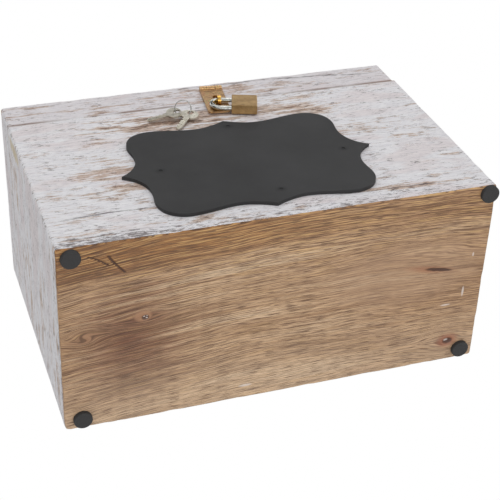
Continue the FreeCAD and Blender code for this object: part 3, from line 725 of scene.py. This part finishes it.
def outward_parts(point, low, high, lid):
    """How far the point is into the margin of each outer side, from 0 to 1, signed outward."""
    parts = Vector()
    for axis in range(3):
        below = 1.0 - (point[axis] - low[axis]) / WEAR_REACH
        above = 1.0 - (high[axis] - point[axis]) / WEAR_REACH
        if axis == 2:
            below, above = (0.0, above) if lid else (below, 0.0)
        parts[axis] = max(above, 0.0) - max(below, 0.0)
    return parts


def wear_depth(point, arris_nearness, seam_nearness):
    """How much wood is rubbed or chipped away near an arris, and the slight waves of the sawn face."""
    place = point / MM
    chips = noise.noise(place * CHIP_SCALES[0]) + FINE_CHIPS * noise.noise(place * CHIP_SCALES[1])
    worn = max(chips + CHIP_BIAS, 0.0) * smooth(arris_nearness, 0.0, 1.0) * CHIP_DEPTH
    ragged = max(noise.noise(place * SEAM_CHIP_SCALE + SEAM_CHIP_LAYER), 0.0)
    waves = noise.noise(Vector(part * scale for part, scale in zip(place, WAVE_SCALES)))
    wave = (waves + WAVE_BIAS) * WAVE_DEPTH
    return max(worn, ragged * seam_nearness * SEAM_CHIP_DEPTH, wave) * MM


def engraved_depth(point):
    """Depth of the grooves, the knots, the resin slit and the hair cracks in the underside."""
    x = point.x / MM
    depth = (point.y - BOX_LOW.y) / MM
    grooves = noise.noise(Vector((x * GROOVE_SCALES[0], depth * GROOVE_SCALES[1], GROOVE_LAYER)))
    sunk = GROOVE_DEPTH * (grooves + 1.0)
    for (cx, cy), (rx, ry), deep, slope in UNDERSIDE_HOLLOWS:
        reach = math.hypot((x - cx) / rx, (depth - cy - slope * (x - cx)) / ry)
        sunk = max(sunk, deep * smooth(reach, *HOLLOW_EDGE))
    for start, end, bend in HAIR_CRACKS:
        share = (depth - start[1]) / (end[1] - start[1])
        if 0.0 <= share <= 1.0:
            away = abs(x - start[0] - (end[0] - start[0]) * share**bend)
            sunk = max(sunk, CRACK_DEPTH * smooth(away, *CRACK_EDGE))
    return sunk * MM


def cut_places(low, high, cell):
    """Even cuts from low to high, with closer ones near both ends."""
    cell = THIN_CELL if high - low < THIN else cell
    count = max(round((high - low) / cell), 1)
    places = [low + (high - low) * i / count for i in range(1, count)]
    for inset in EDGE_CUTS:
        places += [low + inset, high - inset]
    return sorted(place for place in places if low < place < high)


def cut_into_cells(form, low, high, under):
    """Cuts every face of the board along a grid, so that its points can be moved."""
    for axis in (0, 2, 1):
        normal = Vector()
        normal[axis] = 1.0
        cells = UNDERSIDE_CELLS if under else CELLS
        places = cut_places(low[axis], high[axis], cells[axis])
        if under and axis == 0:
            places += [CRACKS_LEFT + i * CRACK_STEP for i in range(CRACK_CUTS)]
        for place in places:
            everything = form.verts[:] + form.edges[:] + form.faces[:]
            bmesh.ops.bisect_plane(
                form, geom=everything, dist=CUT_NEAR, plane_co=normal * place, plane_no=normal
            )


def wear(form, under, lid):
    """Moves the outer points of the board inward."""
    low, high = outer_corners(lid)
    for vertex in form.verts:
        parts = outward_parts(vertex.co, low, high, lid)
        _, second, first = sorted(abs(part) for part in parts)
        if first < WEAR_BEGINS:
            continue
        if under and parts.z < ON_UNDERSIDE and second == 0.0:
            sunk = engraved_depth(vertex.co)
        else:
            seam_nearness = smooth(abs(vertex.co.z - SEAM), SEAM_BEGINS, SEAM_FULL)
            sunk = wear_depth(vertex.co, second, seam_nearness)
        vertex.co -= parts.normalized() * sunk


def weathered(name, material):
    """Stands for a board: the same shape in small cells, with worn arrises and hollows in the wood."""
    under = name == "bottom_board"
    lid = name.startswith("lid_")
    form = bmesh.new()
    form.from_mesh(NODES[name].data)
    bmesh.ops.remove_doubles(form, verts=form.verts, dist=SAME_PLACE)
    bmesh.ops.dissolve_limit(form, angle_limit=FLAT, verts=form.verts, edges=form.edges)
    cut_into_cells(form, *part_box(name), under)
    wear(form, under, lid)
    mesh = bpy.data.meshes.new(name + "_worn")
    form.to_mesh(mesh)
    form.free()
    mesh.shade_smooth()
    mesh.set_sharp_from_angle(angle=SHARP)
    mesh.materials.append(material)
    piece = bpy.data.objects.new(name + "_worn", mesh)
    bpy.context.scene.collection.objects.link(piece)
    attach(piece, "lid" if lid else "box")
    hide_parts(name)


# ---- other materials ----

# Where the plaque is nailed on (x, z); the paint is dented there, and painted shadow darkens it round
# each nail
NAIL_PLACES = [(-64.8, 77.0), (67.7, 74.0), (-0.8, 127.0), (6.2, 32.5)]
NAIL_RADII = (4.5, 3.5)
NAIL_EDGE = Fade(1.2, 0.2)
NAIL_PAINTED_SHADOW_COLOUR = paint(26, 26, 27)
NAIL_PAINTED_SHADOW_STRENGTH = 0.8
CHALK_CLOUD = Cloud(0.018, 4.0, 0.6)
CHALK_GRAIN = Cloud(1.6, 3.0, 0.5)
CHALK_BUMP = (0.12 * MM, 0.5)
CHALKBOARD_SHADES = [
    (0.35, paint(38, 38, 39)),
    (0.65, paint(51, 51, 52)),
]

RUBBER_GRAIN = Cloud(2.2, 4.0, 0.7)
RUBBER_BUMP = (0.2 * MM, 0.7)
RUBBER_SHADES = [
    (0.35, paint(42, 42, 42)),
    (0.65, paint(66, 65, 65)),
]

TARNISH_CLOUD = Cloud(0.16, 3.0, 0.6)
TARNISH_DISTORTION = 0.6
TARNISH_SPECK = Cloud(1.4, 4.0, 0.7)
TARNISH_BUMP = (0.06 * MM, 0.6)
TARNISH_SHADES = [
    (0.30, paint(152, 118, 82)),
    (0.42, paint(190, 154, 114)),
    (0.50, paint(206, 170, 120)),
    (0.55, paint(198, 148, 114)),
    (0.60, paint(188, 176, 124)),
    (0.72, paint(176, 146, 110)),
]
TARNISH_SPECKS = Fade(0.56, 0.72)
TARNISH_SPECK_COLOUR = paint(86, 58, 32)
TARNISH_SPECK_STRENGTH = 0.7
TARNISH_ROUGH = Fade(0.35, 0.7)
TARNISH_ROUGHNESS = (0.24, 0.5)

# Plain metals: cloudy tarnish and fine lines, and how much they change the metal's roughness
CLOUD_SCALE = 0.35
CLOUD_DETAIL = (4.0, 0.6)
LINES_SCALE = 3.0
LINES_DETAIL = (3.0, 0.6)
METAL_LIGHT = Fade(0.35, 0.62)
METAL_ROUGH = Fade(0.3, 0.7)
SMOOTHEST = 0.8
ROUGHEST = 1.25
METAL_BUMP = (0.05 * MM, 0.5)

# The padlock case is brushed along x: few changes along it and many across
CASE_CLOUD_SCALE = 0.2
CASE_BRUSH = (0.25, 3.0, 3.0)


def chalkboard():
    s = Shader("chalkboard", Roughness=0.62, Specular_IOR_Level=0.35)
    place = s.place()
    x, _, z = s.split(place)
    cloud = s.noise(place, *CHALK_CLOUD)
    grain = s.noise(place, *CHALK_GRAIN)
    colour = s.ramp(s.weighted((cloud, 0.8), (grain, 0.2)), CHALKBOARD_SHADES)
    # Painted shadow: soft dark patches round each nail dent
    nail_painted_shadow = s.largest(*[s.mark(x, z, Mark(nail, NAIL_RADII, *NAIL_EDGE)) for nail in NAIL_PLACES])
    colour = s.colour(colour, NAIL_PAINTED_SHADOW_COLOUR, s.times(nail_painted_shadow, NAIL_PAINTED_SHADOW_STRENGTH))
    return s.finish(Base_Color=colour, Normal=s.bump(grain, *CHALK_BUMP))


def foot_rubber():
    s = Shader("foot_rubber", Roughness=0.9)
    grain = s.noise(s.place(), *RUBBER_GRAIN)
    return s.finish(Base_Color=s.ramp(grain, RUBBER_SHADES), Normal=s.bump(grain, *RUBBER_BUMP))


def metal(name, dark, light, roughness, cloud_scale=CLOUD_SCALE, brush=None):
    """Metal with cloudy tarnish and fine specks, or fine lines where brush gives their scales."""
    s = Shader(name, Metallic=1.0)
    place = s.place()
    cloud = s.noise(place, cloud_scale, *CLOUD_DETAIL)
    if brush is None:
        lines = s.noise(place, LINES_SCALE, *LINES_DETAIL)
    else:
        stretched = s.node("VectorMath", {0: place, 1: brush}, operation="MULTIPLY")
        lines = s.noise(stretched, 1.0, *LINES_DETAIL)
    colour = s.colour(dark, light, s.step(s.weighted((cloud, 0.6), (lines, 0.4)), METAL_LIGHT))
    rough = s.step(lines, METAL_ROUGH, roughness * SMOOTHEST, roughness * ROUGHEST)
    return s.finish(Base_Color=colour, Roughness=rough, Normal=s.bump(lines, *METAL_BUMP))


def antique_brass():
    """Brass with yellow, orange, green and pink tarnish."""
    s = Shader("antique_brass", Metallic=1.0)
    place = s.place()
    cloud = s.noise(place, *TARNISH_CLOUD, TARNISH_DISTORTION)
    speck = s.noise(place, *TARNISH_SPECK)
    specks = s.times(s.step(speck, TARNISH_SPECKS), TARNISH_SPECK_STRENGTH)
    colour = s.colour(s.ramp(cloud, TARNISH_SHADES), TARNISH_SPECK_COLOUR, specks)
    rough = s.step(speck, TARNISH_ROUGH, *TARNISH_ROUGHNESS)
    return s.finish(Base_Color=colour, Roughness=rough, Normal=s.bump(speck, *TARNISH_BUMP))


def use(material, *names):
    for name in names:
        node = NODES[name]
        node.data.materials.clear()
        node.data.materials.append(material)


board = whitewashed_board()
use(board, *BOARDS)
for name in BOARDS:
    weathered(name, board)
use(chalkboard(), "chalkboard_plaque", "plaque_nails")
use(foot_rubber(), *[name for name in NODES if name.startswith("foot_")])
hinge_parts = [name for name in NODES if "hinge" in name and "screws" not in name]
use(antique_brass(), "hasp_leaf", "hasp_strap", "hasp_pin", *hinge_parts)
screw_brass = metal("brass_screw", paint(150, 112, 60), paint(206, 166, 100), 0.35)
use(screw_brass, *[name for name in NODES if "screws" in name])
case_colours = (paint(160, 128, 84), paint(192, 160, 112))
case_brass = metal("case_brass", *case_colours, 0.34, CASE_CLOUD_SCALE, CASE_BRUSH)
use(case_brass, "padlock_case", "padlock_plug")
use(metal("staple_brass", paint(196, 140, 62), paint(236, 192, 104), 0.22), "hasp_staple")
use(metal("chrome", paint(158, 160, 154), paint(206, 208, 204), 0.10), "padlock_shackle")
use(metal("nickel", paint(176, 171, 158), paint(226, 221, 208), 0.36), "key_1", "key_2")
steel = metal("ring_steel", paint(120, 118, 112), paint(186, 186, 182), 0.22)
use(steel, "key_ring", "padlock_latch", "padlock_spring")


# ---- floor, lights and camera ----

FLOOR_SIZE = 60.0
FLOOR_GRAIN = Cloud(0.02, 3.0, 0.5)
FLOOR_SHADES = [
    (0.3, paint(235, 234, 232)),
    (0.7, paint(237, 236, 234)),
]

# Strength of the world: for light on the object, and for the studio that metals mirror
AMBIENT = 0.60
STUDIO_SCALE = 1.6
STUDIO_CONTRAST = {"From Min": 0.40, "From Max": 0.60, "To Min": 0.06, "To Max": 1.5}

# Set so that the corners of the box fall where the photo shows them
CAMERA_LENS = 90.93
CAMERA_SENSOR = 36.0
CAMERA_PLACE = (-0.26052, -0.49533, -0.64411)
CAMERA_ANGLES = (146.231, 18.703, -2.085)

# Name, place, size and watts
LIGHTS = [
    ("front_key", (-0.2, -1.5, 0.4), 1.2, 3.5),
    ("top_key", (0.5, 0.2, 1.6), 1.4, 9.0),
    ("under_fill", (0.1, -0.2, -1.5), 1.2, 8.0),
]


def make_floor():
    """Pale floor under the feet; it is only there from above."""
    bpy.ops.mesh.primitive_plane_add(size=FLOOR_SIZE, location=(0, 0, 0))
    floor = bpy.context.active_object
    floor.name = "floor"
    s = Shader("pale_floor", Roughness=0.8)
    s.finish(Base_Color=s.ramp(s.noise(s.place(), *FLOOR_GRAIN), FLOOR_SHADES))
    clear = s.node("BsdfTransparent", {})
    behind = s.node("NewGeometry", {}, output="Backfacing")
    mixed = s.node("MixShader", {0: behind, 1: s.surface.outputs[0], 2: clear})
    s.put(s.tree.nodes["Material Output"].inputs["Surface"], mixed)
    floor.data.materials.append(s.material)
    floor.visible_diffuse = False
    floor.visible_glossy = False
    floor.visible_transmission = False
    floor.visible_shadow = False


def area_light(name, place, aim, size, watts):
    data = bpy.data.lights.new(name, "AREA")
    data.shape = "RECTANGLE"
    data.size = data.size_y = size
    data.energy = watts
    lamp = bpy.data.objects.new(name, data)
    bpy.context.scene.collection.objects.link(lamp)
    lamp.location = place
    lamp.rotation_euler = (Vector(aim) - Vector(place)).to_track_quat("-Z", "Y").to_euler()


def make_world():
    """White backdrop; metals mirror a studio of light and dark patches."""
    world = bpy.data.worlds.new("white_studio")
    world.use_nodes = True
    tree = world.node_tree
    backdrop = tree.nodes["Background"]
    backdrop.inputs["Color"].default_value = (1.0, 1.0, 1.0, 1.0)
    path = tree.nodes.new("ShaderNodeLightPath")
    where = tree.nodes.new("ShaderNodeTexCoord")
    patches = tree.nodes.new("ShaderNodeTexNoise")
    patches.inputs["Scale"].default_value = STUDIO_SCALE
    patches.inputs["Detail"].default_value = 1.0
    tree.links.new(where.outputs["Generated"], patches.inputs["Vector"])
    contrast = tree.nodes.new("ShaderNodeMapRange")
    for key, value in STUDIO_CONTRAST.items():
        contrast.inputs[key].default_value = value
    tree.links.new(patches.outputs["Fac"], contrast.inputs["Value"])
    mirrored = tree.nodes.new("ShaderNodeMix")
    mirrored.inputs["A"].default_value = AMBIENT
    tree.links.new(path.outputs["Is Glossy Ray"], mirrored.inputs["Factor"])
    tree.links.new(contrast.outputs["Result"], mirrored.inputs["B"])
    seen = tree.nodes.new("ShaderNodeMix")
    seen.inputs["B"].default_value = 1.0
    tree.links.new(path.outputs["Is Camera Ray"], seen.inputs["Factor"])
    tree.links.new(mirrored.outputs["Result"], seen.inputs["A"])
    tree.links.new(seen.outputs["Result"], backdrop.inputs["Strength"])
    bpy.context.scene.world = world


def make_camera():
    data = bpy.data.cameras.new("camera")
    data.lens = CAMERA_LENS
    data.sensor_width = CAMERA_SENSOR
    camera = bpy.data.objects.new("camera", data)
    bpy.context.scene.collection.objects.link(camera)
    camera.location = CAMERA_PLACE
    camera.rotation_euler = [math.radians(angle) for angle in CAMERA_ANGLES]
    bpy.context.scene.camera = camera


make_floor()
make_world()
bpy.context.scene.view_settings.view_transform = "Standard"
for name, place, size, watts in LIGHTS:
    area_light(name, place, (0.0, CENTRE_Y, TOP / 2), size, watts)
make_camera()
